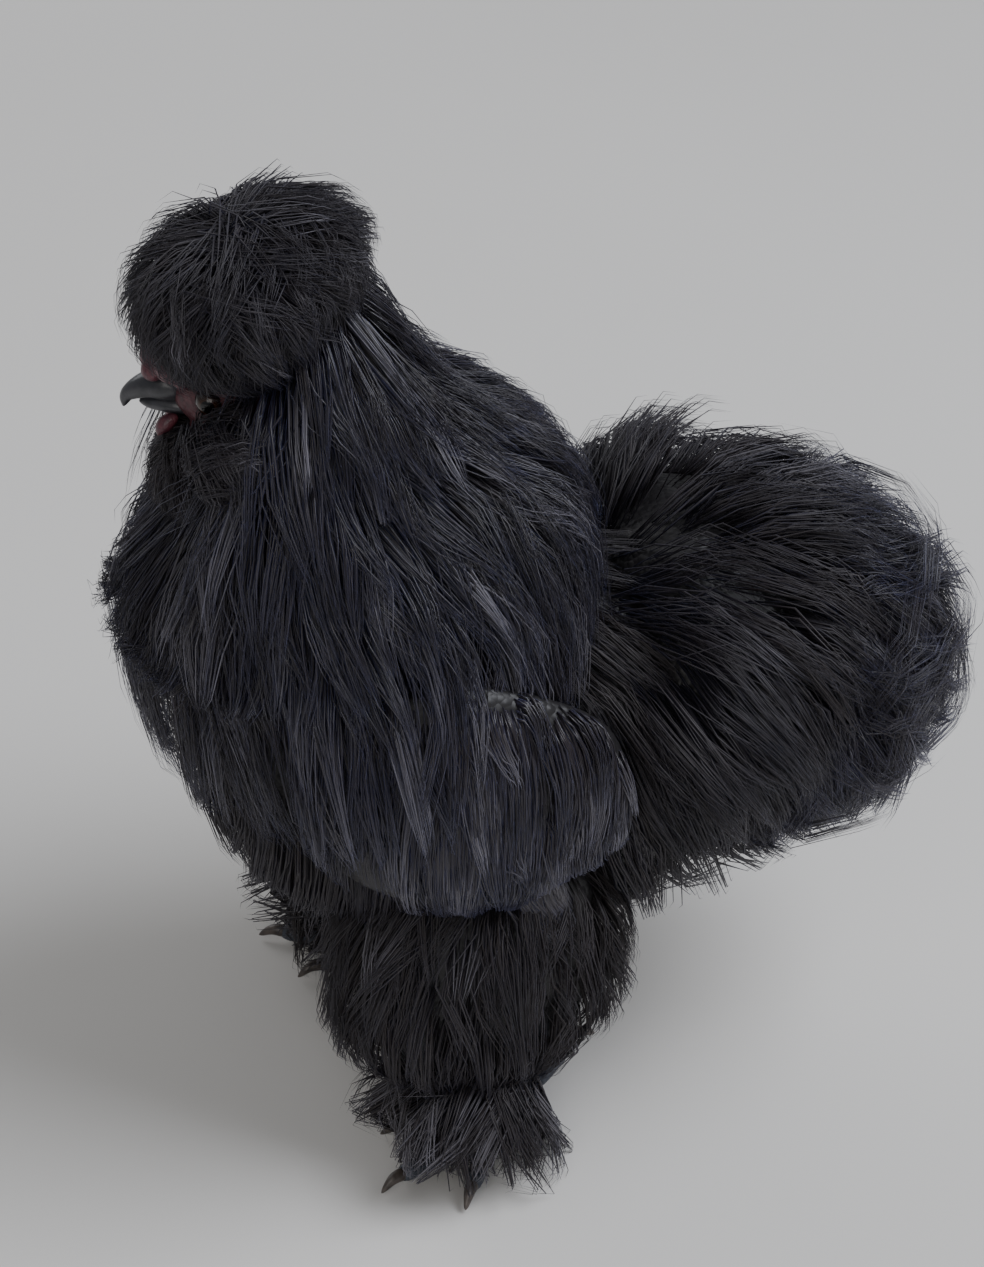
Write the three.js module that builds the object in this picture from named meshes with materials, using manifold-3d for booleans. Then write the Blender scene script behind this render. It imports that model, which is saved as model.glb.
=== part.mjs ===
// A bantam silkie chicken with a round crest, beard and feathered feet, standing still, at life size.
// Millimetres, +Z up. The bird faces -Y, its left side is on +X, and its feet stand on z = 0.
import * as THREE from "three";
import { mergeVertices } from "three/addons/utils/BufferGeometryUtils.js";
import Module from "manifold-3d";

const wasm = await Module();
wasm.setup();

// Driving sizes.
const GAP = 0.3; // between one piece and the next
const SLACK = 2.6; // the locks' room past the outside of the coat
const SUNK = 0.12; // how far a root goes below the core, as a share of the coat
const LOCK_FLAT = 0.17; // a lock's thickness over its width
const LIFT = 1.3; // how much sooner than its tip a lock reaches the outside of the coat
const WIDEST = 1.6; // the same for its full width
const STANCE = 42; // from the midline to each ankle
const HEAD_TURN = 30; // degrees to the bird's right
const HEAD_AT = [3, -48, 240];
const LEG_Y = { left: 8, right: 3 };
const FOOT_TURN = 24; // degrees outwards
const SEED = 30;

const SIDES = { left: 1, right: -1 };
const rad = THREE.MathUtils.degToRad;
const mix = THREE.MathUtils.lerp;
const vec = (p) => new THREE.Vector3(...p);

// Seeded, so that every build draws the same numbers.
let drawn = SEED;
function random() {
  drawn = (drawn * 1664525 + 1013904223) % 4294967296;
  return drawn / 4294967296;
}
const vary = (share) => 1 + share * (2 * random() - 1);

const FEATHER = { color: 0x141216, roughness: 0.62, metalness: 0 };
const SKIN = { color: 0x1d2129, roughness: 0.55, metalness: 0 };
const MATERIALS = {
  feather: new THREE.MeshStandardMaterial(FEATHER),
  plume: new THREE.MeshStandardMaterial({ ...FEATHER, color: 0x17161b, roughness: 0.5 }),
  skin: new THREE.MeshStandardMaterial(SKIN),
  comb: new THREE.MeshStandardMaterial({ color: 0x6b2a33, roughness: 0.48, metalness: 0 }),
  lobe: new THREE.MeshStandardMaterial({ color: 0x3f7d86, roughness: 0.5, metalness: 0 }),
  horn: new THREE.MeshStandardMaterial({ color: 0x24262b, roughness: 0.35, metalness: 0 }),
  eye: new THREE.MeshStandardMaterial({ color: 0x0a0807, roughness: 0.08, metalness: 0 }),
};

// A rounded form along a spine. Each station is [x, y, z, half across, half deep, depth of the coat].
// round is the share of each end that closes.
function form(stations, round = [0.5, 0.5], across = [1, 0, 0]) {
  const curve = (points) => new THREE.CatmullRomCurve3(points, false, "catmullrom", 0.5);
  const spine = curve(stations.map((s) => vec(s.slice(0, 3))));
  const sizes = curve(stations.map((s) => new THREE.Vector3(s[3], s[4], s[5] ?? 0)));
  const length = spine.getLength();
  const inset = [stations[0][5] ?? 0, stations.at(-1)[5] ?? 0].map((coat) => coat / length);
  return { spine, sizes, round, across: vec(across), inset };
}

function closing({ round: [a, b] }, t) {
  const near = t < a ? Math.sqrt(Math.max(0, 1 - (1 - t / a) ** 2)) : 1;
  const far = t > 1 - b ? Math.sqrt(Math.max(0, 1 - ((t - 1 + b) / b) ** 2)) : 1;
  return near * far;
}

// A point at t along a form and at an angle round it: 0 is across, 90 degrees up.
// layer is 0 on the core, 1 on the outside of the coat. more is added to the distance from the spine.
function pointOn(f, t, angle, layer = 1, more = 0) {
  const s = mix(mix(f.inset[0], 1 - f.inset[1], t), t, layer);
  const along = f.spine.getTangent(s);
  const across = f.across.clone().addScaledVector(along, -f.across.dot(along)).normalize();
  const up = new THREE.Vector3().crossVectors(across, along).normalize();
  const size = f.sizes.getPoint(s);
  const shut = closing(f, t);
  const reach = (half) => (half - (1 - layer) * size.z) * shut + more;
  return f.spine.getPoint(s)
    .addScaledVector(across, Math.cos(angle) * reach(size.x))
    .addScaledVector(up, Math.sin(angle) * reach(size.y));
}

// The closed surface of a form at a layer, grown outwards.
function bodyOf(f, { grow = 0, layer = 1, sides = 16, rings = 12 } = {}) {
  const g = new THREE.SphereGeometry(1, sides, rings);
  const p = g.attributes.position;
  for (let i = 0; i < p.count; i++) {
    const axis = -p.getY(i);
    const t = (1 + axis) / 2;
    const rim = Math.hypot(p.getX(i), p.getZ(i));
    const angle = Math.atan2(p.getZ(i), p.getX(i));
    const q = pointOn(f, t, angle, layer, grow * rim);
    q.addScaledVector(f.spine.getTangent(t), axis * grow);
    p.setXYZ(i, q.x, q.y, q.z);
  }
  return g;
}

function ball(centre, radii, grow = 0, sides = 12, rings = 8) {
  const g = new THREE.SphereGeometry(1, sides, rings);
  g.scale(radii[0] + grow, radii[1] + grow, radii[2] + grow);
  g.translate(...centre);
  return g;
}

// One flat, tapered lock: rooted in the core at [t, angle], bending out to its tip on the outside of the coat.
// base is the width of the root, as a share of the widest.
function lock(f, root, tip, halfWidth, { sides = 3, steps = 3, top = 0.95, flat = LOCK_FLAT, base = 0.4 } = {}) {
  const g = new THREE.ConeGeometry(1, 1, sides, steps);
  const p = g.attributes.position;
  const lie = (u) => {
    const layer = mix(-SUNK, top, Math.sin(Math.min(1, u * LIFT) * Math.PI / 2));
    return [mix(root[0], tip[0], u), mix(root[1], tip[1], u), layer];
  };
  const at = (u, out = 0) => {
    const [t, angle, layer] = lie(u);
    return pointOn(f, t, angle, layer, out);
  };
  for (let i = 0; i < p.count; i++) {
    const u = p.getY(i) + 0.5;
    const rim = Math.hypot(p.getX(i), p.getZ(i)) / Math.max(1e-6, 1 - u);
    const turn = Math.atan2(p.getX(i), p.getZ(i));
    const swell = mix(base, 1, Math.sin(Math.PI * Math.min(1, u * WIDEST)));
    const wide = u > 0.999 ? 0 : halfWidth * rim * swell * Math.sqrt(1 - u * u);
    const here = at(u);
    const along = at(Math.min(1, u + 0.05)).sub(at(Math.max(0, u - 0.05))).normalize();
    const out = at(u, 1).sub(here);
    const side = new THREE.Vector3().crossVectors(along, out).normalize();
    out.crossVectors(side, along);
    here.addScaledVector(side, Math.sin(turn) * wide).addScaledVector(out, Math.cos(turn) * wide * flat * 2);
    p.setXYZ(i, here.x, here.y, here.z);
  }
  return g;
}

// A row of locks round a form, side by side from one angle to another, each a little different.
// Each turns towards the angle of the lie by droop.
// from and to are where roots and tips lie along the form. wide is half a lock's width over their spacing.
function row(f, { from, to, count, span = [0, 360], lie = null, droop = 0, wide = 0.46, shift = 0, ...rest }) {
  const locks = [];
  const scatter = (width) => width * (random() - 0.5);
  const [first, last] = span.map(rad);
  const step = (last - first) / count;
  for (let i = 0; i < count; i++) {
    const angle = first + step * (i + 0.5 + shift + scatter(0.18));
    const away = lie === null ? 0 : Math.sin(angle - rad(lie));
    const end = angle - rad(droop) * away + scatter(0.12);
    const root = [from + scatter(0.03), angle];
    const tip = [Math.min(0.97, to + scatter(0.07)), end];
    const middle = mix(root[0], tip[0], 0.45);
    const chord = pointOn(f, middle, angle - step / 2).distanceTo(pointOn(f, middle, angle + step / 2));
    locks.push(lock(f, root, tip, chord * wide * vary(0.12), rest));
  }
  return locks;
}

// A closed geometry as a solid, turned the right way out where a mirrored side left it inside out.
function solidOf(geometry, matrix, tolerance = 1e-3) {
  const bare = new THREE.BufferGeometry().setAttribute("position", geometry.attributes.position.clone());
  bare.setIndex(geometry.index.clone());
  if (matrix) bare.applyMatrix4(matrix);
  const merged = mergeVertices(bare, tolerance);
  const p = merged.attributes.position;
  const faces = new Map();
  let volume = 0;
  for (let i = 0; i < merged.index.count; i += 3) {
    const [a, b, c] = [0, 1, 2].map((k) => merged.index.getX(i + k));
    if (a === b || b === c || c === a) continue;
    // Two faces on the same three corners are a fold with nothing in it.
    const key = [a, b, c].sort((x, y) => x - y).join();
    if (!faces.delete(key)) faces.set(key, [a, b, c]);
    const [u, v, w] = [a, b, c].map((k) => new THREE.Vector3().fromBufferAttribute(p, k));
    volume += u.dot(v.cross(w));
  }
  const triVerts = new Uint32Array([...faces.values()].flatMap((f) => (volume < 0 ? [f[0], f[2], f[1]] : f)));
  return new wasm.Manifold(new wasm.Mesh({ numProp: 3, vertProperties: p.array, triVerts }));
}

function joined(solids) {
  return solids.reduce((all, s) => (all ? all.add(s) : s), null);
}

function largest(solid) {
  return solid.decompose().reduce((best, s) => (!best || s.volume() > best.volume() ? s : best), null);
}

// The largest body of a solid, with its slivers closed up as far as it stays whole.
function cleaned(solid) {
  const g = geometryOf(largest(solid));
  for (const tolerance of [0.01, 0.003]) {
    try {
      return largest(solidOf(g, null, tolerance));
    } catch {
      continue;
    }
  }
  return largest(solid);
}

function geometryOf(solid) {
  const mesh = solid.getMesh();
  const g = new THREE.BufferGeometry();
  g.setAttribute("position", new THREE.BufferAttribute(new Float32Array(mesh.vertProperties), 3));
  g.setIndex(new THREE.BufferAttribute(new Uint32Array(mesh.triVerts), 1));
  g.computeVertexNormals();
  return g;
}

// The bird, with a group for what turns or is placed as one.
const bird = new THREE.Group();
const head = new THREE.Group();
head.position.set(...HEAD_AT);
head.rotation.z = rad(-HEAD_TURN);
bird.add(head);
const feet = {};
for (const side in SIDES) {
  feet[side] = new THREE.Group();
  feet[side].position.set(SIDES[side] * STANCE, LEG_Y[side], 0);
  feet[side].rotation.z = rad(SIDES[side] * FOOT_TURN);
  bird.add(feet[side]);
}
bird.updateMatrixWorld(true);

// Nodes are made in turn, and a later one is cut clear of the space that each earlier one takes.
// shapes are functions of how far they grow. space is the plainer space that the node keeps,
// and rough an even plainer one that only the coat is cut clear of.
const made = [];
function addNode(name, material, group, shapes, { space = shapes, cuts = [], rough = null, coat = false } = {}) {
  const at = (g) => solidOf(g, group.matrixWorld);
  let solid = joined(shapes.map((s) => at(s(0))));
  for (const cut of cuts) solid = solid.subtract(at(cut));
  if (coat) solid = solid.intersect(joined(space.map((s) => at(s(0)))));
  const kept = joined(space.map((s) => at(s(GAP))));
  const box = solid.boundingBox();
  for (const other of made) {
    const apart = [0, 1, 2].some((k) => other.box.min[k] > box.max[k] || other.box.max[k] < box.min[k]);
    if (!apart) solid = solid.subtract(coat ? other.rough : other.kept);
  }
  made.push({ kept, rough: rough ? joined(rough.map((s) => at(s(GAP)))) : kept, box: kept.boundingBox() });
  const mesh = new THREE.Mesh(geometryOf(cleaned(solid)), MATERIALS[material]);
  mesh.name = name;
  bird.add(mesh);
  group.attach(mesh);
}

// A node of plumage: a core, the locks on it, and the flesh that joins it to its neighbours.
function addPlumage(name, material, group, coats, flesh, { cuts = [], sides = 12, rings = 8 } = {}) {
  const core = coats.map(({ f }) => () => bodyOf(f, { layer: 0, sides, rings }));
  const locks = coats.flatMap(({ f, rows }) => rows.flatMap((r) => row(f, r))).map((g) => () => g);
  const plain = flesh.map((f) => (grow) => bodyOf(f, { grow, sides: 8, rings: 5 }));
  const outside = coats.map(({ f }) => (grow) => bodyOf(f, { grow: grow + SLACK, sides, rings }));
  addNode(name, material, group, [...core, ...plain, ...locks], { space: [...outside, ...plain], cuts, coat: true });
}

const shapeOf = (f, sides, rings) => (grow) => bodyOf(f, { grow, sides, rings });
// The same form on the other side.
function mirror(f, s) {
  const points = f.spine.points.map((p) => new THREE.Vector3(s * p.x, p.y, p.z));
  return { ...f, spine: new THREE.CatmullRomCurve3(points, false, "catmullrom", 0.5) };
}

// Head pieces, in the head's own frame.
const EYE = { at: [8.7, -6, 3], radius: 4.3 };
const LID = { swell: 1.1, slit: [6, 4.4, 3.1] };
const BEAK_UPPER = form([
  [0, -14, 1, 5.5, 5], [0, -24, 0.5, 4.2, 4], [0, -31, -3, 2.2, 2.2], [0, -33, -7.5, 0.8, 0.8],
], [0.25, 0.2]);
const BEAK_LOWER = form([[0, -13, -5, 4.4, 2.4], [0, -22, -5.5, 3.4, 2], [0, -28.5, -6.6, 1.2, 1]], [0.3, 0.3]);
const NOSTRIL = { at: [3.6, -21.5, 2.2], radii: [1.4, 1.5, 0.7] };
const SKULL = form([[0, -19, -2, 8, 9], [0, -2, 1, 12.5, 13.5], [0, 16, 1, 11, 12]], [0.45, 0.5]);
const COMB = [
  // place and radius of each bulb
  [0, -20, 9.5, 5.6], [5, -15, 10, 4.6], [-5, -15, 10, 4.6], [0, -12, 13.5, 5.4],
];
const WATTLE = form([[4.4, -19, -6, 2.4, 2.2], [5.2, -24, -10, 3.4, 2.6], [5, -26, -16, 3, 2.4]], [0.5, 0.5]);
const LOBE = { at: [11.2, 4, -4], radii: [2.2, 4, 5.2] };

const CREST = form([[0, -5, 58, 31, 31, 12], [0, 1, 34, 35, 34, 13], [0, 12, 7, 30, 27, 12]], [0.5, 0.5]);
const CREST_FLESH = form([[0, 2, 34, 12, 12], [0, 3, 8, 10, 12]], [0.3, 0.3]);
const CREST_ROWS = [
  { from: 0.1, to: 0.5, count: 5, wide: 0.4 },
  { from: 0.28, to: 0.72, count: 8, shift: 0.5, wide: 0.36 },
  { from: 0.42, to: 0.82, count: 9 },
];
const BEARD = form([[0, -12, -5, 13, 9, 5], [0, -13, -20, 19, 14, 7], [0, -9, -43, 13, 12, 6]], [0.4, 0.45]);
const BEARD_FLESH = form([[0, -9, -6, 6, 6], [0, -9, -24, 6, 6]], [0.3, 0.3]);
const BEARD_ROWS = [
  { from: 0.14, to: 0.66, count: 7, steps: 2, wide: 0.4 },
  { from: 0.42, to: 0.94, count: 7, shift: 0.5, steps: 2, wide: 0.4 },
];
const MUFF = form([[9, -14, -6, 7, 9, 4], [17, -1, -10, 11, 14, 6], [20, 16, -16, 8, 12, 5]], [0.4, 0.5]);
const MUFF_FLESH = form([[9, -2, -7, 5, 5], [15, 2, -10, 5, 5]], [0.4, 0.4]);
const MUFF_ROWS = [
  { from: 0.06, to: 0.62, count: 4, steps: 2 },
  { from: 0.4, to: 0.96, count: 4, shift: 0.5, steps: 2 },
];
const SMALL = { sides: 9, rings: 6 };

function lidOf(s) {
  const [x, y, z] = EYE.at;
  const r = EYE.radius + LID.swell;
  return (grow) => ball([s * (x - 1), y, z], [r, r, r * 0.9], grow, 10, 7);
}
const slitOf = (s) => ball([s * (EYE.at[0] + 3.4), EYE.at[1], EYE.at[2]], LID.slit, 0, 10, 6);

for (const side in SIDES) {
  const s = SIDES[side];
  const at = [s * EYE.at[0], EYE.at[1], EYE.at[2]];
  addNode("eye_" + side, "eye", head, [(grow) => ball(at, [EYE.radius, EYE.radius, EYE.radius], grow, 10, 8)]);
}
const nostrils = [1, -1].map((s) => ball([s * NOSTRIL.at[0], NOSTRIL.at[1], NOSTRIL.at[2]], NOSTRIL.radii, 0, 6, 4));
addNode("beak_upper", "horn", head, [shapeOf(BEAK_UPPER, 10, 8)], {
  cuts: nostrils,
  rough: [shapeOf(BEAK_UPPER, 8, 6)],
});
addNode("beak_lower", "horn", head, [shapeOf(BEAK_LOWER, 9, 6)]);
const bulbs = COMB.map(([x, y, z, r]) => (grow) => ball([x, y, z], [r, r, r], grow, 7, 6));
addNode("comb", "comb", head, bulbs, {
  rough: [(grow) => ball([0, -16, 10.5], [11, 11.5, 10], grow, 9, 7)],
});
for (const side in SIDES) {
  const s = SIDES[side];
  addNode("wattle_" + side, "comb", head, [shapeOf(mirror(WATTLE, s), 7, 6)]);
  const at = [s * LOBE.at[0], LOBE.at[1], LOBE.at[2]];
  addNode("earlobe_" + side, "lobe", head, [(grow) => ball(at, LOBE.radii, grow, 7, 6)]);
}
addNode("head", "skin", head, [shapeOf(SKULL, 13, 9), lidOf(1), lidOf(-1)], {
  space: [shapeOf(SKULL, 13, 9)],
  cuts: [slitOf(1), slitOf(-1)],
});
addPlumage("crest", "feather", head, [{ f: CREST, rows: CREST_ROWS }], [CREST_FLESH]);
addPlumage("beard", "feather", head, [{ f: BEARD, rows: BEARD_ROWS }], [BEARD_FLESH], SMALL);
for (const side in SIDES) {
  const coat = { f: mirror(MUFF, SIDES[side]), rows: MUFF_ROWS };
  addPlumage("muff_" + side, "feather", head, [coat], [mirror(MUFF_FLESH, SIDES[side])], SMALL);
}

// Feet and legs, in the foot's own frame.
const TOES = [
  // length, turn from straight ahead in degrees, half thickness, rise of the tip
  { name: "inner", length: 27, turn: -32, thick: 3.4, rise: 0 },
  { name: "middle", length: 37, turn: 0, thick: 3.8, rise: 0 },
  { name: "outer", length: 30, turn: 34, thick: 3.5, rise: 0 },
  { name: "hind", length: 20, turn: 200, thick: 3.1, rise: 0 },
  { name: "fifth", length: 24, turn: 164, thick: 3, rise: 16 },
];
const TOE_HEIGHT = 3.3;
const FIFTH_HEIGHT = 9;
const CLAW = 9;
const SHANK = form([[0, 0, 36, 5.6, 5.6], [0, -1, 18, 5.2, 5.6], [0, -2, 5, 6.6, 7]], [0.2, 0.2]);
const PAD = form([[0, 2, 6, 5.5, 6], [0, -1, 5, 7, 6.5], [0, -5, 4.5, 6, 5]]);
// How much wider and longer than a toe the coat's clearance round it is.
const TOE_ROOM = { thick: 1.3, length: 2 };
const FLOOR = new THREE.BoxGeometry(400, 400, 20).translate(0, 0, -10);

// The way a toe points, and the height it starts at.
function toeLine(toe, s) {
  const a = rad(toe.turn) * s;
  const base = toe.rise ? FIFTH_HEIGHT : TOE_HEIGHT;
  const out = (d, rise) => [Math.sin(a) * d, -Math.cos(a) * d, base + rise];
  return { out, across: [Math.cos(a), Math.sin(a), 0], tip: TOE_HEIGHT * 0.2 + toe.rise };
}
function toeForm(toe, s) {
  const { out, across, tip } = toeLine(toe, s);
  const halves = (k) => [toe.thick * (1 - 0.22 * k), toe.thick * (1 - 0.2 * k)];
  const station = (k) => [...out(2 + toe.length * k, tip * k * k), ...halves(k)];
  return form([0, 0.5, 1].map(station), [0.15, 0.12], across);
}
function clawForm(toe, s) {
  const { out, across, tip } = toeLine(toe, s);
  const from = toe.length - 1;
  const stations = [
    [...out(from, tip), 2, 2.1],
    [...out(from + CLAW * 0.5, tip + 0.4), 1.6, 1.7],
    [...out(from + CLAW, tip - 2.2), 0.5, 0.5],
  ];
  return form(stations, [0.2, 0.15], across);
}
const roomy = (toe) => ({ ...toe, thick: toe.thick * TOE_ROOM.thick, length: toe.length + TOE_ROOM.length });
for (const side in SIDES) {
  const s = SIDES[side];
  const pad = shapeOf(PAD, 9, 6);
  const toes = TOES.map((toe) => shapeOf(toeForm(toe, s), 6, 6));
  const rough = TOES.map((toe) => shapeOf(toeForm(roomy(toe), s), 5, 5));
  addNode("foot_" + side, "skin", feet[side], [...toes, pad], { cuts: [FLOOR], rough: [...rough, pad] });
  for (const toe of TOES) {
    addNode("claw_" + toe.name + "_" + side, "horn", feet[side], [shapeOf(clawForm(toe, s), 6, 5)], { cuts: [FLOOR] });
  }
  addNode("shank_" + side, "skin", feet[side], [shapeOf(SHANK, 9, 6)]);
}

// The plumage of the body.
const NECK = form([
  [0, -37, 264, 23, 28, 9], [0, -32, 240, 34, 40, 13], [0, -28, 218, 46, 53, 18],
  [0, -24, 200, 58, 62, 20], [0, -20, 180, 67, 68, 18], [0, -17, 158, 70, 68, 14],
], [0.15, 0.24]);
const NECK_ROWS = [
  { from: 0.02, to: 0.48, count: 8, steps: 2 },
  { from: 0.28, to: 0.76, count: 10, shift: 0.5 },
  { from: 0.54, to: 0.97, count: 12 },
];
const NECK_FLESH = form([[0, -40, 240, 14, 15], [0, -32, 200, 24, 26], [0, -20, 134, 32, 30]], [0.2, 0.3]);

const WING = form([
  [50, -56, 168, 20, 9, 3], [65, -22, 150, 38, 12, 3], [67, 14, 136, 34, 12, 3], [60, 44, 118, 14, 7, 3],
], [0.3, 0.3], [0, 0, 1]);
// Coverts over secondaries. The angles are those of the left wing, whose outer face is at -90.
const WING_TIERS = [
  { count: 5, start: -34, end: -112, along: 0.1, top: 0.98, half: 10 },
  { count: 5, start: -62, end: -158, along: 0.12, top: 0.72, half: 10.5 },
];
const QUILLS = form([[62, 2, 122, 4, 12, 1.5], [60, 12, 96, 4, 12, 1.5], [57, 18, 76, 3, 9, 1.5]], [0.2, 0.3]);
// The primaries fan out below, to each side of a middle one, seen from the angle of the wing's lower edge.
const PRIMARIES = { from: 0.05, to: [0.8, 0.85, 0.9], edge: 90, fan: [-45, 0, 45], half: 4.5 };
const VANE = { flat: 0.1, base: 0.62 };
const PRIMARY_VANE = { top: 0.9, flat: 0.12, base: 0.62 };

function wingLocks(f, s) {
  return WING_TIERS.flatMap(({ count, start, end, along, top, half }) =>
    [...Array(count).keys()].map((i) => {
      const t = mix(0.1, 0.86, (i + 0.5) / count);
      const swing = 6 * (random() - 0.5);
      const tip = [Math.min(0.97, t + along), rad(s * (end + swing))];
      return lock(f, [t, rad(s * start)], tip, half * vary(0.1), { top, ...VANE });
    }),
  );
}

function primaries(f, s) {
  const { from, to, edge, fan, half } = PRIMARIES;
  const tip = (i) => [to[i], rad(edge - fan[i] * s)];
  return fan.map((_, i) => lock(f, [from, rad(edge)], tip(i), half, PRIMARY_VANE));
}

const TAIL = form([[0, 72, 140, 46, 50, 17], [0, 106, 127, 61, 62, 19], [0, 150, 98, 43, 42, 14]], [0.4, 0.4]);
const TAIL_ROWS = [
  { from: 0.3, to: 0.74, count: 11, lie: -90, droop: 14, shift: 0.5 },
  { from: 0.56, to: 0.9, count: 10, lie: -90, droop: 10 },
];
const TAIL_FLESH = form([[0, 116, 126, 26, 26], [0, 58, 136, 24, 24]], [0.3, 0.3]);
const SADDLE = form([
  [0, 30, 153, 50, 42, 14], [0, 60, 142, 71, 59, 18], [0, 92, 130, 68, 62, 18], [0, 118, 114, 47, 46, 14],
], [0.3, 0.3]);
const SADDLE_ROWS = [
  { from: 0.04, to: 0.52, count: 11, lie: -90, droop: 16 },
  { from: 0.36, to: 0.84, count: 12, lie: -90, droop: 16, shift: 0.5 },
];
const SADDLE_FLESH = form([[0, 66, 138, 34, 34], [0, 6, 138, 34, 34]], [0.3, 0.3]);
const THIGH = form([
  [34, 10, 116, 28, 34, 0], [38, 5, 84, 34, 45, 9], [42, 1, 52, 31, 45, 11], [43, -1, 22, 19, 28, 6],
], [0.35, 0.25]);
const THIGH_ROWS = [
  { from: 0.28, to: 0.74, count: 7, steps: 2 },
  { from: 0.54, to: 0.97, count: 7, shift: 0.5, steps: 2 },
];
const TORSO = form([
  [0, -82, 156, 36, 36, 9], [0, -30, 138, 64, 62, 10], [0, 36, 117, 64, 62, 10], [0, 106, 88, 58, 54, 10],
], [0.35, 0.35]);
const TORSO_ROWS = [
  { from: 0.04, to: 0.38, count: 6, span: [-195, 15], lie: -90, droop: 34 },
  { from: 0.28, to: 0.64, count: 7, span: [-180, 0], lie: -90, droop: 30 },
  { from: 0.56, to: 0.95, count: 6, span: [-180, 0], lie: -90, droop: 22 },
];
const BOOT = form([[0, 4, 36, 12, 13, 3], [4, -8, 20, 27, 27, 11], [6, -13, 3, 37, 37, 13]], [0.4, 0.2]);
const BOOT_ROWS = [
  { from: 0.04, to: 0.62, count: 5, steps: 2 },
  { from: 0.4, to: 0.93, count: 7, shift: 0.5, steps: 2 },
];
const BOOT_FLESH = form([[0, -1, 32, 7.6, 7.6], [0, -2, 6, 8.6, 9]], [0.3, 0.3]);

// The face stands clear of the cape.
const ROOM = ball([0, -14, -3], [23, 25, 22], 0, 12, 8).applyMatrix4(head.matrixWorld);
addPlumage("neck", "plume", bird, [{ f: NECK, rows: NECK_ROWS }], [NECK_FLESH], { cuts: [ROOM] });
for (const side in SIDES) {
  const s = SIDES[side];
  const forms = [mirror(WING, s), mirror(QUILLS, s)];
  const vanes = [...wingLocks(forms[0], s), ...primaries(forms[1], s)].map((g) => () => g);
  const plate = forms.map((f) => () => bodyOf(f, { layer: 0, sides: 10, rings: 6 }));
  const space = forms.map((f) => (grow) => bodyOf(f, { grow: grow + SLACK, sides: 12, rings: 8 }));
  addNode("wing_" + side, "plume", bird, [...plate, ...vanes], { space, coat: true });
}
addPlumage("tail", "plume", bird, [{ f: TAIL, rows: TAIL_ROWS }], [TAIL_FLESH]);
addPlumage("saddle", "feather", bird, [{ f: SADDLE, rows: SADDLE_ROWS }], [SADDLE_FLESH]);
for (const side in SIDES) {
  const coat = { f: mirror(THIGH, SIDES[side]), rows: THIGH_ROWS };
  addPlumage("thigh_" + side, "feather", bird, [coat], [], { sides: 11, rings: 8 });
}
addPlumage("torso", "feather", bird, [{ f: TORSO, rows: TORSO_ROWS }], []);
for (const side in SIDES) {
  const coat = { f: mirror(BOOT, SIDES[side]), rows: BOOT_ROWS };
  const detail = { cuts: [FLOOR], sides: 10, rings: 7 };
  addPlumage("boot_" + side, "feather", feet[side], [coat], [BOOT_FLESH], detail);
}

// The origin is on the floor, under the middle of the bird's box.
const box = new THREE.Box3().setFromObject(bird, true);
bird.position.set(-(box.min.x + box.max.x) / 2, -(box.min.y + box.max.y) / 2, -box.min.z);

export default bird;
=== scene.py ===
# The look of a still, life-size black silkie chicken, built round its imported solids.
# Lengths in the tables are millimetres in the bird's own frame: it faces -Y, its left side is +X.
import math

import bmesh
import bpy
import numpy as np
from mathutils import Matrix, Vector


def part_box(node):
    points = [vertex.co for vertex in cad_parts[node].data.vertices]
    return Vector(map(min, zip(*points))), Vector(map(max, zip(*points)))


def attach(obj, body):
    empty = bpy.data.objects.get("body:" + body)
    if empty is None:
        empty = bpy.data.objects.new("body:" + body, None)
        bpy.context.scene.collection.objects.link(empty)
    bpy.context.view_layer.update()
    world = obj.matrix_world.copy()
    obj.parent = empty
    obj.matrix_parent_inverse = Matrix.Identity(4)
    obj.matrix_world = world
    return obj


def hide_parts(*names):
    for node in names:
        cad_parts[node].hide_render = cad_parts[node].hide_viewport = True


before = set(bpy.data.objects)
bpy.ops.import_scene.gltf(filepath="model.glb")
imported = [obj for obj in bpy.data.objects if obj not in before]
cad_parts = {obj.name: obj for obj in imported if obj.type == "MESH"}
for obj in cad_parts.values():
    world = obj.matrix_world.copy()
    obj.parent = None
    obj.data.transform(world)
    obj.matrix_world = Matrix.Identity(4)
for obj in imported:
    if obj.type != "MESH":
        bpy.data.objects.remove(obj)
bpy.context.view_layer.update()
rng = np.random.default_rng(7)

# Driving sizes, as in the solids.
STANCE = 42
HEAD_TURN = math.radians(30)
HEAD_AT = np.array([3.0, -48.0, 240.0])
LEG_Y = {"left": 8, "right": 3}
FOOT_TURN = math.radians(24)
SIDES = {"left": 1, "right": -1}
EYE_AT = np.array([8.7, -6.0, 3.0])
EYE_RADIUS = 4.3
# Towards the ground, as an angle round a form of the body.
DOWN = -math.pi / 2


def turned(points, angle, origin):
    """Points turned about the vertical and moved to an origin."""
    c, s = math.cos(angle), math.sin(angle)
    p = np.asarray(points, float)
    x = p[..., 0] * c - p[..., 1] * s
    y = p[..., 0] * s + p[..., 1] * c
    return np.stack([x, y, p[..., 2]], -1) + origin


def in_body(points):
    return np.asarray(points, float)


def in_head(points):
    return turned(points, -HEAD_TURN, HEAD_AT)


def in_foot(side):
    s = SIDES[side]
    origin = np.array([s * STANCE, LEG_Y[side], 0.0])
    return lambda points: turned(points, s * FOOT_TURN, origin)


# The frame's own origin, found from the left eye, which stands where the head's table puts it.
low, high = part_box("eye_left")
ORIGIN = np.array((low + high) / 2) * 1000 - in_head(EYE_AT)


def metres(points):
    return (np.asarray(points, float) + ORIGIN) / 1000


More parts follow.
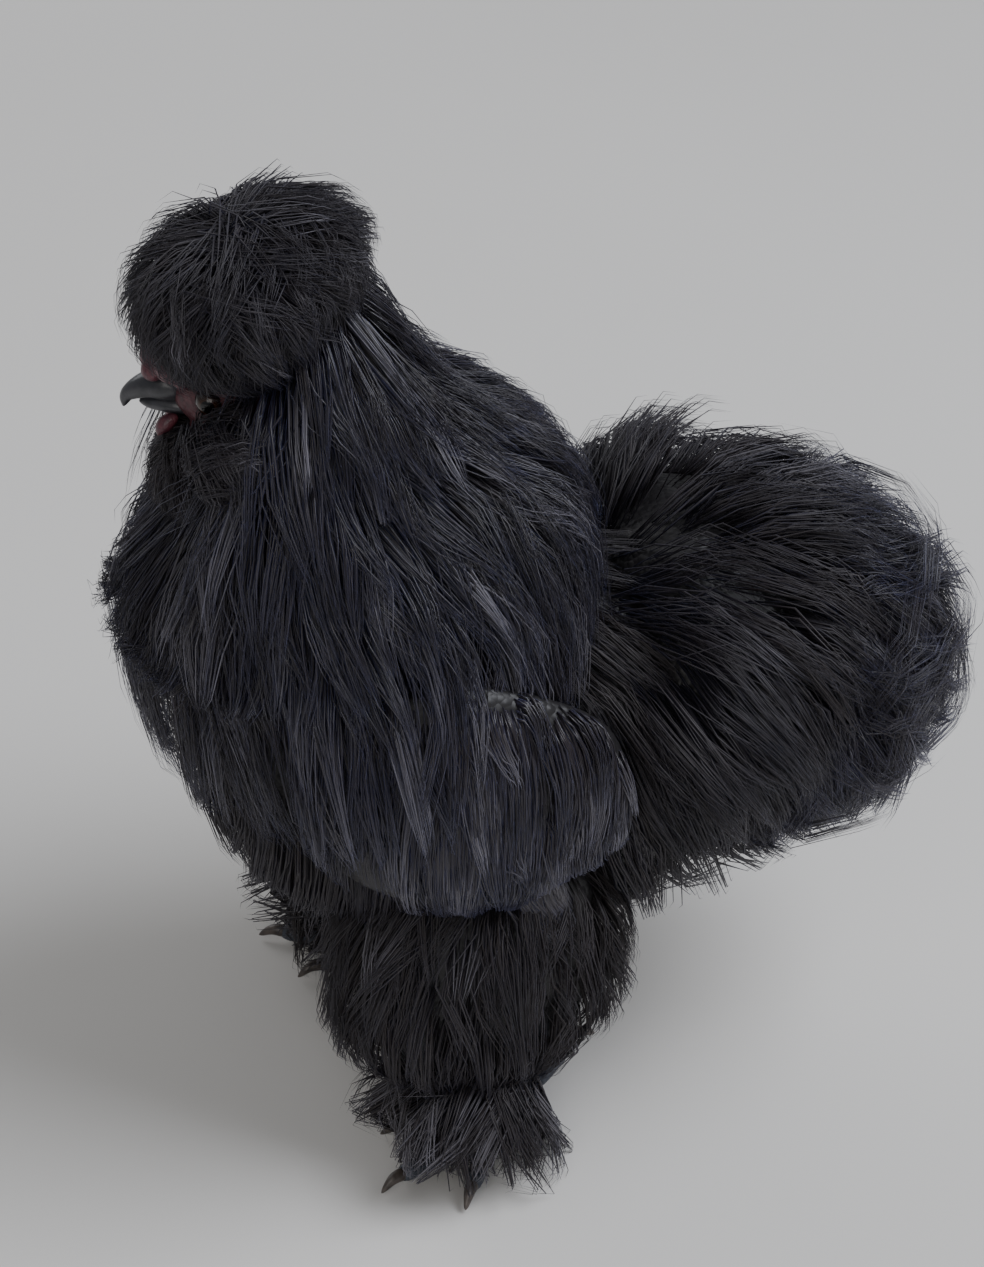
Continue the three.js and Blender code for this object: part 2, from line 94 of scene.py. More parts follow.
def spline(table, t):
    """A Catmull-Rom curve through the rows of a table, at each t from 0 to 1."""
    rows = np.vstack([2 * table[0] - table[1], table, 2 * table[-1] - table[-2]])
    spans = len(table) - 1
    place = np.clip(t, 0, 1) * spans
    i = np.minimum(place.astype(int), spans - 1)
    u = (place - i)[..., None]
    a, b, c, d = rows[i], rows[i + 1], rows[i + 2], rows[i + 3]
    return b + 0.5 * u * (c - a + u * (2 * a - 5 * b + 4 * c - d + u * (3 * (b - c) + d - a)))


def unit(v):
    return v / np.maximum(np.linalg.norm(v, axis=-1, keepdims=True), 1e-9)


# Half the step, as a share of a spine, over which its direction is taken.
STEP = 0.004


class Form:
    """A rounded form along a spine.

    Each station is x, y, z, half across, half deep and depth of the coat. round_ends are the shares of its
    length over which its near and its far end close.
    """

    def __init__(self, stations, round_ends=(0.5, 0.5), across=(1, 0, 0), side=1, place=in_body):
        rows = np.array([list(s) + [0] * (6 - len(s)) for s in stations], float)
        rows[:, 0] *= side
        self.spine, self.sizes = rows[:, :3], rows[:, 3:]
        self.ends, self.across, self.place = round_ends, np.array(across, float), place
        steps = spline(self.spine, np.linspace(0, 1, 60))
        self.length = np.linalg.norm(np.diff(steps, axis=0), axis=1).sum()
        self.inset = self.sizes[[0, -1], 2] / self.length

    def closing(self, t):
        a, b = self.ends
        near = np.sqrt(np.clip(1 - np.clip(1 - t / a, 0, 1) ** 2, 0, 1))
        far = np.sqrt(np.clip(1 - np.clip((t - 1 + b) / b, 0, 1) ** 2, 0, 1))
        return near * far

    def point(self, t, angle, layer=1.0):
        """layer is 0 on the core and 1 on the outside of the coat."""
        t, angle, layer = np.broadcast_arrays(*[np.asarray(v, float) for v in (t, angle, layer)])
        first, last = self.inset
        s = (first + (1 - last - first) * t) * (1 - layer) + t * layer
        ahead = spline(self.spine, np.clip(s + STEP, 0, 1))
        behind = spline(self.spine, np.clip(s - STEP, 0, 1))
        along = unit(ahead - behind)
        across = unit(self.across - along * (along @ self.across)[..., None])
        up = np.cross(across, along)
        size = spline(self.sizes, s)
        shut = self.closing(t)
        wide = (size[..., 0] - (1 - layer) * size[..., 2]) * shut
        deep = (size[..., 1] - (1 - layer) * size[..., 2]) * shut
        p = spline(self.spine, s)
        p = p + across * (np.cos(angle) * wide)[..., None] + up * (np.sin(angle) * deep)[..., None]
        return self.place(p)

    def radius(self, t):
        return spline(self.sizes, t)[..., :2].mean(-1) * self.closing(t)

    def body(self, layer=1.0, sides=40, rings=28):
        """The closed surface at a layer: points and faces."""
        t = (1 - np.cos(np.linspace(0, np.pi, rings + 1)[1:-1])) / 2
        angle = np.linspace(0, 2 * np.pi, sides, endpoint=False)
        p = self.point(t[:, None], angle[None], layer).reshape(-1, 3)
        ends = self.point(np.array([0.0, 1.0]), np.zeros(2), layer)
        faces = []
        for i in range(rings - 2):
            for j in range(sides):
                k = (j + 1) % sides
                faces.append((i * sides + j, i * sides + k, (i + 1) * sides + k, (i + 1) * sides + j))
        first, last = len(p), len(p) + 1
        for j in range(sides):
            k = (j + 1) % sides
            faces.append((first, k, j))
            faces.append((last, (rings - 2) * sides + j, (rings - 2) * sides + k))
        return np.vstack([p, ends]), faces


# Forms of the head, in its own frame.
SKULL = Form([[0, -19, -2, 8, 9], [0, -2, 1, 12.5, 13.5], [0, 16, 1, 11, 12]], (0.45, 0.5), place=in_head)
BEAK_UPPER = Form([
    [0, -14, 1, 5.5, 5], [0, -24, 0.5, 4.2, 4], [0, -31, -3, 2.2, 2.2], [0, -33, -7.5, 0.8, 0.8],
], (0.25, 0.2), place=in_head)
BEAK_LOWER = Form([
    [0, -13, -4.3, 4.5, 2.8], [0, -22, -4.5, 3.5, 2.4], [0, -28.5, -5.2, 1.5, 1.4],
], (0.3, 0.3), place=in_head)
CREST = Form([[0, -5, 58, 31, 31, 12], [0, 3, 34, 35, 32, 13], [0, 14, 10, 30, 26, 12]], place=in_head)
BEARD = Form([
    [0, -12, -5, 13, 9, 5], [0, -13, -20, 19, 14, 7], [0, -9, -43, 13, 12, 6],
], (0.4, 0.45), place=in_head)
# The comb's bulbs: place and radius.
COMB = [
    [0, -21.5, 9.5, 5.8], [5.4, -17, 10, 5], [-5.4, -17, 10, 5], [0, -14, 14, 6],
    [3.4, -23, 6.8, 3.2], [-3.4, -23, 6.8, 3.2], [7.4, -13.5, 8, 3.4], [-7.4, -13.5, 8, 3.4],
    [3.2, -20, 14.4, 3.4], [-3, -18, 15, 3.2],
]
LOBE_AT = np.array([11.2, 4.0, -4.0])
LOBE_RADII = [2.2, 4, 5.2]


def muff(s):
    rows = [[9, -14, -7, 7, 9, 4], [18, 0, -8, 13, 15, 6], [22, 15, -14, 11, 14, 5]]
    return Form(rows, (0.4, 0.5), side=s, place=in_head)


def wattle(s):
    rows = [[4, -17, -6, 2, 2], [4.4, -20.5, -9, 2.6, 2.2], [4.4, -21.8, -12.8, 2, 1.8]]
    return Form(rows, side=s, place=in_head)


# Forms of the body.
NECK = Form([
    [0, -37, 264, 23, 28, 9], [0, -32, 240, 34, 40, 13], [0, -28, 218, 46, 53, 18],
    [0, -24, 200, 58, 62, 20], [0, -20, 180, 67, 68, 18], [0, -17, 158, 70, 68, 14],
], (0.15, 0.24))
NECK_FLESH = Form([[0, -40, 240, 14, 15], [0, -32, 200, 24, 26], [0, -20, 134, 32, 30]], (0.2, 0.3))
# Behind the crest, feathers run on down the nape.
NAPE = Form([
    [0, -34, 286, 27, 22, 8], [0, -31, 262, 34, 24, 12], [0, -27, 238, 45, 31, 14], [0, -24, 220, 51, 40, 14],
], (0.3, 0.1))
# The hackles hang past the neck, over the shoulders and the wings.
HACKLE = Form([
    [0, -36, 272, 28, 25, 9], [0, -34, 240, 43, 37, 13], [0, -30, 218, 54, 51, 18], [0, -25, 200, 62, 61, 20],
    [0, -20, 180, 69, 69, 18], [0, -20, 156, 77, 63, 16], [0, -16, 118, 79, 54, 12],
], (0.12, 0.1))
TAIL = Form([[0, 72, 140, 46, 50, 17], [0, 102, 126, 61, 59, 19], [0, 147, 90, 45, 46, 14]], (0.4, 0.4))
SADDLE = Form([
    [0, 30, 153, 50, 42, 14], [0, 60, 142, 71, 59, 18], [0, 92, 130, 68, 62, 18], [0, 118, 114, 47, 46, 14],
], (0.3, 0.3))
TORSO = Form([
    [0, -75, 152, 34, 35, 9], [0, -30, 138, 64, 60, 10], [0, 36, 117, 64, 62, 10], [0, 126, 84, 58, 56, 12],
], (0.35, 0.35))


def wing(s):
    rows = [
        [46, -56, 168, 20, 9, 3], [60, -22, 148, 38, 12, 3],
        [62, 14, 134, 34, 12, 3], [57, 44, 116, 14, 7, 3],
    ]
    return Form(rows, (0.3, 0.3), (0, 0, 1), side=s)


def quills(s):
    rows = [[62, 2, 122, 4, 12, 1.5], [60, 12, 96, 4, 12, 1.5], [57, 18, 76, 3, 9, 1.5]]
    return Form(rows, (0.2, 0.3), side=s)


def thigh(s):
    rows = [
        [34, 10, 116, 28, 34, 0], [38, 5, 84, 34, 45, 9],
        [42, 1, 52, 31, 45, 11], [43, -1, 22, 19, 28, 6],
    ]
    return Form(rows, (0.35, 0.25), side=s)


def boot(side):
    rows = [[0, 4, 38, 12, 13, 3], [2, -11, 20, 26, 29, 11], [2, -20, 3, 32, 37, 12]]
    return Form(rows, (0.4, 0.2), side=SIDES[side], place=in_foot(side))


# Legs, in the foot's own frame.
SHANK = [[0, 0, 44, 5.6, 5.6], [0, -1, 18, 5.2, 5.6], [0, -2, 5, 6.6, 7]]
PAD = [[0, 2, 6, 5.5, 6], [0, -1, 5, 7, 5], [0, -5, 4.5, 6, 4.5]]
# Length, turn from straight ahead in degrees, half thickness and rise of the tip of each toe.
TOES = {
    "inner": (27, -32, 3.4, 0),
    "middle": (37, 0, 3.8, 0),
    "outer": (30, 34, 3.5, 0),
    "hind": (20, 200, 3.1, 0),
    "fifth": (24, 164, 3, 16),
}
FRONT_TOES = ("inner", "middle", "outer")
TOE_HEIGHT = 3.3
FIFTH_HEIGHT = 9
TIP_RISE = TOE_HEIGHT * 0.2  # the lift of every tip, before its rise
TOE_START = 2  # where a toe starts, from the middle of its foot
SLIMMER = (0.22, 0.2)  # how much a toe narrows to its tip, across and deep
CLAW = 9  # length of a claw


def toe_way(toe, side):
    """The turn of a toe, and points out along it."""
    _, turn, _, rise = TOES[toe]
    angle = math.radians(turn) * SIDES[side]
    base = FIFTH_HEIGHT if rise else TOE_HEIGHT
    return angle, lambda d, up=0: [math.sin(angle) * d, -math.cos(angle) * d, base + up]


def toe_form(toe, side):
    length, _, thick, rise = TOES[toe]
    angle, out = toe_way(toe, side)
    tip = TIP_RISE + rise
    rows = []
    for k in (0, 0.5, 1):
        rows.append(out(TOE_START + length * k, tip * k * k) + [thick * (1 - less * k) for less in SLIMMER])
    return Form(rows, (0.15, 0.12), (math.cos(angle), math.sin(angle), 0), place=in_foot(side))


def claw_form(toe, side):
    length, _, _, rise = TOES[toe]
    angle, out = toe_way(toe, side)
    tip = TIP_RISE + rise
    start = length - 1
    rows = [
        out(start, tip) + [2, 2.1],
        out(start + CLAW / 2, tip + 0.4) + [1.6, 1.7],
        out(start + CLAW, tip - 2.2) + [0.5, 0.5],
    ]
    return Form(rows, (0.2, 0.15), (math.cos(angle), math.sin(angle), 0), place=in_foot(side))


# Meshes.
def new_object(name, points, faces, look):
    mesh = bpy.data.meshes.new(name)
    mesh.from_pydata(metres(points).tolist(), [], faces)
    mesh.materials.append(look)
    mesh.shade_smooth()
    turn_outward(mesh)
    return in_scene(name, mesh)


def in_scene(name, data):
    piece = bpy.data.objects.new(name, data)
    bpy.context.scene.collection.objects.link(piece)
    return piece


def turn_outward(mesh):
    bm = bmesh.new()
    bm.from_mesh(mesh)
    bmesh.ops.recalc_face_normals(bm, faces=bm.faces)
    bm.to_mesh(mesh)
    bm.free()


def apply_modifiers(piece):
    """Leaves the piece with the mesh that its modifiers make."""
    depsgraph = bpy.context.evaluated_depsgraph_get()
    mesh = bpy.data.meshes.new_from_object(piece.evaluated_get(depsgraph))
    materials = list(piece.data.materials)
    piece.modifiers.clear()
    piece.data = mesh
    mesh.materials.clear()
    for m in materials:
        mesh.materials.append(m)
    mesh.shade_smooth()


def fused(name, bodies, look, voxel, smoothing=3):
    """Several closed bodies fused into one smooth skin, on a grid of voxel mm."""
    points, faces = [], []
    for p, f in bodies:
        base = sum(len(q) for q in points)
        points.append(p)
        faces += [tuple(base + i for i in face) for face in f]
    piece = new_object(name, np.vstack(points), faces, look)
    remesh = piece.modifiers.new("fuse", "REMESH")
    remesh.mode = "VOXEL"
    remesh.voxel_size = voxel / 1000
    smooth = piece.modifiers.new("smooth", "SMOOTH")
    smooth.iterations = smoothing
    smooth.factor = 0.5
    apply_modifiers(piece)
    return piece


def ball(centre, radii, place, sides=24, rings=16):
    """The closed surface of an ellipsoid: points and faces."""
    down = np.linspace(0, np.pi, rings + 1)[1:-1, None]
    angle = np.linspace(0, 2 * np.pi, sides, endpoint=False)[None]
    x = np.sin(down) * np.cos(angle)
    y = np.sin(down) * np.sin(angle)
    z = np.cos(down) * np.ones_like(angle)
    p = np.stack([x, y, z], -1).reshape(-1, 3)
    p = np.vstack([p, [0, 0, 1], [0, 0, -1]]) * np.array(radii) + np.array(centre)
    faces = []
    for i in range(rings - 2):
        for j in range(sides):
            k = (j + 1) % sides
            faces.append((i * sides + j, (i + 1) * sides + j, (i + 1) * sides + k, i * sides + k))
    for j in range(sides):
        k = (j + 1) % sides
        faces.append((len(p) - 2, j, k))
        faces.append((len(p) - 1, (rings - 2) * sides + k, (rings - 2) * sides + j))
    return place(p), faces


# Materials.
SHEEN_TINT = (0.42, 0.46, 0.9, 1)
COOL = (0.0085, 0.0066, 0.0115)
WARM = (0.0125, 0.0074, 0.0072)
SPECK = (0.0185, 0.0145, 0.0165)
# Painted highlight on the tips of glossy locks, standing in for their shine.
PAINTED_HIGHLIGHT_COLOUR = (0.23, 0.22, 0.25)
BARE_SKIN = (0.008, 0.007, 0.008)
SLATE = (0.030, 0.036, 0.050), (0.060, 0.068, 0.088)
MULBERRY = (0.050, 0.014, 0.020), (0.100, 0.026, 0.034)
COMB_COLOURS = (0.13, 0.030, 0.042), (0.060, 0.016, 0.027)
TURQUOISE = (0.10, 0.30, 0.34), (0.06, 0.19, 0.24)
BEAK_COLOURS = (0.018, 0.019, 0.023), (0.045, 0.045, 0.052)
CLAW_COLOURS = (0.040, 0.031, 0.027), (0.10, 0.083, 0.072)
# The parts of a noise over which colours blend, and the scales of the noises in it.
MOTTLE = (0.35, 0.65)
SPECKS = (0.4, 0.8)
SPECK_SCALE = 260
SKIN_SCALE = 500
PEBBLE_SCALE = 420
PEBBLE_DEPTH = -0.0006  # in metres, inwards
PUPIL = (0.002, 0.002, 0.002, 1)
IRIS = (0.045, 0.018, 0.008, 1)
IRIS_RIM = (0.012, 0.006, 0.004, 1)
# How far the eye's colours run from the middle of its pupil, in metres, and where they change, as shares.
EYE_SPAN = 0.0045
PUPIL_END = 0.40
IRIS_START = 0.46
IRIS_END = 0.8


def material(name, roughness, specular=0.5, sheen=0.0, coat=0.0):
    m = bpy.data.materials.new(name)
    m.use_nodes = True
    shader = m.node_tree.nodes["Principled BSDF"]
    shader.inputs["Roughness"].default_value = roughness
    shader.inputs["Specular IOR Level"].default_value = specular
    shader.inputs["Sheen Weight"].default_value = sheen
    shader.inputs["Sheen Roughness"].default_value = 0.4
    shader.inputs["Sheen Tint"].default_value = SHEEN_TINT
    shader.inputs["Coat Weight"].default_value = coat
    return m, m.node_tree, shader


def noise(tree, scale, detail=4):
    place = tree.nodes.new("ShaderNodeTexCoord")
    texture = tree.nodes.new("ShaderNodeTexNoise")
    texture.inputs["Scale"].default_value = scale
    texture.inputs["Detail"].default_value = detail
    tree.links.new(place.outputs["Object"], texture.inputs["Vector"])
    return texture.outputs["Fac"]


def blend_colours(tree, factor, first, second):
    mix = tree.nodes.new("ShaderNodeMix")
    mix.data_type = "RGBA"
    for socket, value in ((mix.inputs["A"], first), (mix.inputs["B"], second)):
        if isinstance(value, tuple):
            socket.default_value = (*value, 1)
        else:
            tree.links.new(value, socket)
    tree.links.new(factor, mix.inputs["Factor"])
    return mix.outputs["Result"]


def spread(tree, value, low, high):
    """A value stretched so that low becomes 0 and high becomes 1."""
    node = tree.nodes.new("ShaderNodeMapRange")
    node.inputs["From Min"].default_value = low
    node.inputs["From Max"].default_value = high
    tree.links.new(value, node.inputs["Value"])
    return node.outputs["Result"]


def bump(tree, shader, height, strength, distance):
    node = tree.nodes.new("ShaderNodeBump")
    node.inputs["Strength"].default_value = strength
    node.inputs["Distance"].default_value = distance
    tree.links.new(height, node.inputs["Height"])
    tree.links.new(node.outputs["Normal"], shader.inputs["Normal"])


def plumage_material(name, roughness, sheen):
    """Black feather: cool to warm by the coat's own tone, with fine specks and painted highlights at tips."""
    m, tree, shader = material(name, roughness, specular=0.5, sheen=sheen)
    base = blend_colours(tree, shade(tree, "tone"), COOL, WARM)
    specked = blend_colours(tree, spread(tree, noise(tree, SPECK_SCALE), *SPECKS), base, SPECK)
    # The painted highlight, strongest at the tips of some locks.
    highlighted = blend_colours(tree, shade(tree, "painted_highlight"), specked, PAINTED_HIGHLIGHT_COLOUR)
    tree.links.new(highlighted, shader.inputs["Base Color"])
    return m


def shade(tree, name):
    node = tree.nodes.new("ShaderNodeAttribute")
    node.attribute_name = name
    return node.outputs["Fac"]


def mottled(tree, colours, scale):
    """Two colours in soft patches."""
    return blend_colours(tree, spread(tree, noise(tree, scale), *MOTTLE), *colours)


def mottled_material(name, colours, scale, roughness, depth, coat=0.0):
    """Skin or horn: two colours over each other and a fine relief, depth in metres."""
    m, tree, shader = material(name, roughness, coat=coat)
    tree.links.new(mottled(tree, colours, scale), shader.inputs["Base Color"])
    bump(tree, shader, noise(tree, scale * 4, 6), 0.6, depth)
    return m


def skin_material():
    """Slate legs and a dark mulberry face over near-black skin, pebbled with small scales."""
    m, tree, shader = material("skin", 0.5)
    body = blend_colours(tree, shade(tree, "legs"), BARE_SKIN, mottled(tree, SLATE, SKIN_SCALE))
    colour = blend_colours(tree, shade(tree, "face"), body, mottled(tree, MULBERRY, SKIN_SCALE))
    tree.links.new(colour, shader.inputs["Base Color"])
    place = tree.nodes.new("ShaderNodeTexCoord")
    scales = tree.nodes.new("ShaderNodeTexVoronoi")
    scales.inputs["Scale"].default_value = PEBBLE_SCALE
    tree.links.new(place.outputs["Object"], scales.inputs["Vector"])
    bump(tree, shader, scales.outputs["Distance"], 0.8, PEBBLE_DEPTH)
    return m


def eye_material(name, centre, axis):
    """A dark brown iris round a black pupil, by distance from where the eye's own axis leaves it."""
    m, tree, shader = material(name, 0.08, specular=0.45, coat=0.2)
    place = tree.nodes.new("ShaderNodeTexCoord")
    apart = tree.nodes.new("ShaderNodeVectorMath")
    apart.operation = "DISTANCE"
    apart.inputs[1].default_value = Vector(centre) + Vector(axis) * EYE_RADIUS / 1000
    tree.links.new(place.outputs["Object"], apart.inputs[0])
    ramp = tree.nodes.new("ShaderNodeValToRGB")
    stops = ramp.color_ramp.elements
    stops[0].position = PUPIL_END
    stops[0].color = PUPIL
    stops[1].position = IRIS_START
    stops[1].color = IRIS
    stops.new(IRIS_END).color = IRIS_RIM
    tree.links.new(spread(tree, apart.outputs["Value"], 0, EYE_SPAN), ramp.inputs["Fac"])
    tree.links.new(ramp.outputs["Color"], shader.inputs["Base Color"])
    return m


PLUMAGE = plumage_material("plumage", 0.55, 0.05)
CAPE = plumage_material("cape", 0.34, 0.17)
COMB_SKIN = mottled_material("comb_skin", COMB_COLOURS, 500, 0.4, 0.0005, 0.2)
LOBE_SKIN = mottled_material("lobe_skin", TURQUOISE, 600, 0.5, 0.0003)
HORN = mottled_material("horn", BEAK_COLOURS, 240, 0.34, 0.0001, 0.15)
CLAW_HORN = mottled_material("claw_horn", CLAW_COLOURS, 300, 0.38, 0.0001)
SKIN = skin_material()


# Skin: one surface over head, body, legs and toes, inside the coat.
SKIN_LAYER = -0.1
SKIN_GRID = 1.5
COMB_GRID = 0.5
# The face's centre and reach, the height that legs end at, and how softly each fades, in mm.
FACE = {"at": [0, -8, 0], "reach": 23, "fade": 4}
LEGS = {"top": 55, "fade": 10}
# The opening of the eye, in mm: half its length and height, how far its floor is from the eye's middle, how
# far the lid's rim stands over the eyeball, and how far from the middle the skin changes at most. rim_at,
# rim_width and end are shares of the opening: where the rim is, how wide, and where the change ends.
SLIT = {
    "long": 4.6, "high": 3.2, "floor": 3.0, "rim": 1.1, "rim_at": 1.25, "rim_width": 0.25,
    "reach": 8.5, "end": 1.7,
}


def skin():
    cores = [NECK, SADDLE, TAIL, TORSO, CREST, BEARD]
    cores += [f for s in (1, -1) for f in (muff(s), wing(s), thigh(s))]
    bodies = [f.body(layer=SKIN_LAYER) for f in cores]
    bodies.append(SKULL.body())
    bodies.append(NECK_FLESH.body())
    for side in SIDES:
        place = in_foot(side)
        bodies.append(Form(SHANK, (0.2, 0.2), place=place).body())
        bodies.append(Form(PAD, place=place).body())
        bodies += [toe_form(toe, side).body(sides=20, rings=24) for toe in TOES]
    piece = fused("skin", bodies, SKIN, SKIN_GRID)
    co = coordinates(piece.data)
    for s in (1, -1):
        shape_lids(co, s)
    co[:, 2] = np.maximum(co[:, 2], 0.0)
    piece.data.vertices.foreach_set("co", co.ravel())
    piece.data.update()
    shade_skin(piece.data)
    return piece


def coordinates(mesh):
    co = np.zeros(len(mesh.vertices) * 3)
    mesh.vertices.foreach_get("co", co)
    return co.reshape(-1, 3)


def shape_lids(co, s):
    """Opens the skin over an eye as an almond, with a raised rim of lid."""
    middle = in_head([0, 0, 0])
    out = unit(in_head([s, 0, 0]) - middle)
    fore = unit(in_head([0, -1, 0]) - middle)
    d = (co - metres(in_head(EYE_AT * [s, 1, 1]))) * 1000
    reach = np.linalg.norm(d, axis=1)
    q = np.hypot(d @ fore / SLIT["long"], d[:, 2] / SLIT["high"])
    rim = EYE_RADIUS + SLIT["rim"] * np.exp(-(((q - SLIT["rim_at"]) / SLIT["rim_width"]) ** 2))
    goal = np.where(q < 1, SLIT["floor"], np.maximum(rim, reach))
    near = (reach < SLIT["reach"]) & (d @ out > 0) & (q < SLIT["end"])
    co[near] += (d * (goal / reach - 1)[:, None] / 1000)[near]


def shade_skin(mesh):
    """Marks the legs and the face, each fading into the rest."""
    co = coordinates(mesh) * 1000
    apart = np.linalg.norm(co - metres(in_head(FACE["at"])) * 1000, axis=1)
    add_shade(mesh, "legs", np.clip((LEGS["top"] - co[:, 2]) / LEGS["fade"], 0, 1))
    add_shade(mesh, "face", np.clip((FACE["reach"] - apart) / FACE["fade"], 0, 1))


# Coat: every barb is a thin, closed, tapering blade, gathered with its neighbours into a pointed lock.
# Where the rings of a short and of a long barb are, as shares of its length.
SHORT = np.array([0.0, 0.4, 0.78, 1.0])
LONG = np.array([0.0, 0.28, 0.58, 0.84, 1.0])
UNDER = -0.08  # the layer of the roots
RISE = 1.25  # a barb is at its full layer from 1 / RISE of its length on
OVER = 0.05  # the step in layer that tells which way is out
# Barbs keep between these shares of a form's length, so that none runs over the very ends.
ALONG_LEAST, ALONG_MOST = 0.004, 0.992

# How far locks and barbs differ. The pairs are the least and the most; LOCK_TURN, BARB_LAYER and FRIZZ are
# standard deviations.
LOCK_REACH = (0.7, 1.25)
BARB_REACH = (0.8, 1.12)
WIDTHS = (0.7, 1.3)
HIGHLIGHT_STRENGTH = (0.4, 1)  # how strong the painted highlight on a highlighted lock's tips is
FAINT_HIGHLIGHT = 0.12  # and at most the faint painted highlight on any other lock
# How far a barb's painted highlight differs from its lock's.
BARB_HIGHLIGHT = (0.6, 1.1)
LOCK_TURN = 0.10  # in radians
BARB_LAYER = 0.08
FRIZZ = 0.02  # ripple of a barb of its own, at a wave of 1
ROLL = 0.7  # how far a barb is rolled about itself at most, in radians

# A lock at a wave of 1 bends by about BEND radians where the form's radius is BEND_RADIUS mm.
BEND = 0.16
BEND_RADIUS = 20
BENDS = np.pi * 1.5  # how far the bend's sine runs over a barb's length
SHORTEN = 0.35  # how much winding draws a tip back
LEAST_RADIUS = 8  # a form counts as no thinner than this, in mm, when angles are made of distances

# A form's thinner parts get fewer roots, but at least LEAST_SHARE of what its thickest part gets.
LEAST_SHARE = 0.35
THINNING = 0.8  # power of the radius that the roots go by
ROOT_TRIES = 6  # places tried for each lock

# A blade's ridge stands RIDGE of its half width above its path, and its flat underside lies half as far
# below. Its width starts near BLADE_ROOT of the full one and swells along SWELL.
RIDGE = 0.55
BLADE_ROOT = 0.45
SWELL = (0.1, 1.4)
HIGHLIGHT_GROWTH = 1.5  # power of the way to the tip by which a barb's painted highlight grows

# Where coat stays away: an ellipsoid round the face, whose centre is in the head's frame, and a gap of
# TOE_ROOM mm round the front toes and their claws, from TOE_ROOM_FROM mm out.
FACE_ROOM = {"at": [0, -17, -4], "radii": [23, 24, 25]}
TOE_ROOM = 1.6
TOE_ROOM_FROM = 14

# The unwrap: cells in a row, how wide each is in use, its margin, and how large a blade's own patch is.
CELLS = 5
CELL = 0.18
MARGIN = 0.01
PATCH = 0.003
ATLAS = {}


def atlas_cell(name):
    """Each form has a cell of its own on the unwrap: t runs across it, the angle up it."""
    k = ATLAS.setdefault(name, len(ATLAS))
    return np.array([k % CELLS, k // CELLS]) / CELLS + MARGIN


def roots_of(form, locks, along):
    """Places along a form, as many to each part of it as its radius asks."""
    t = rng.uniform(*along, locks * ROOT_TRIES)
    share = form.radius(np.abs(t)) / form.radius(np.linspace(0, 1, 50)).max()
    return t[rng.uniform(0, 1, len(t)) < np.maximum(share**THINNING, LEAST_SHARE)][:locks]


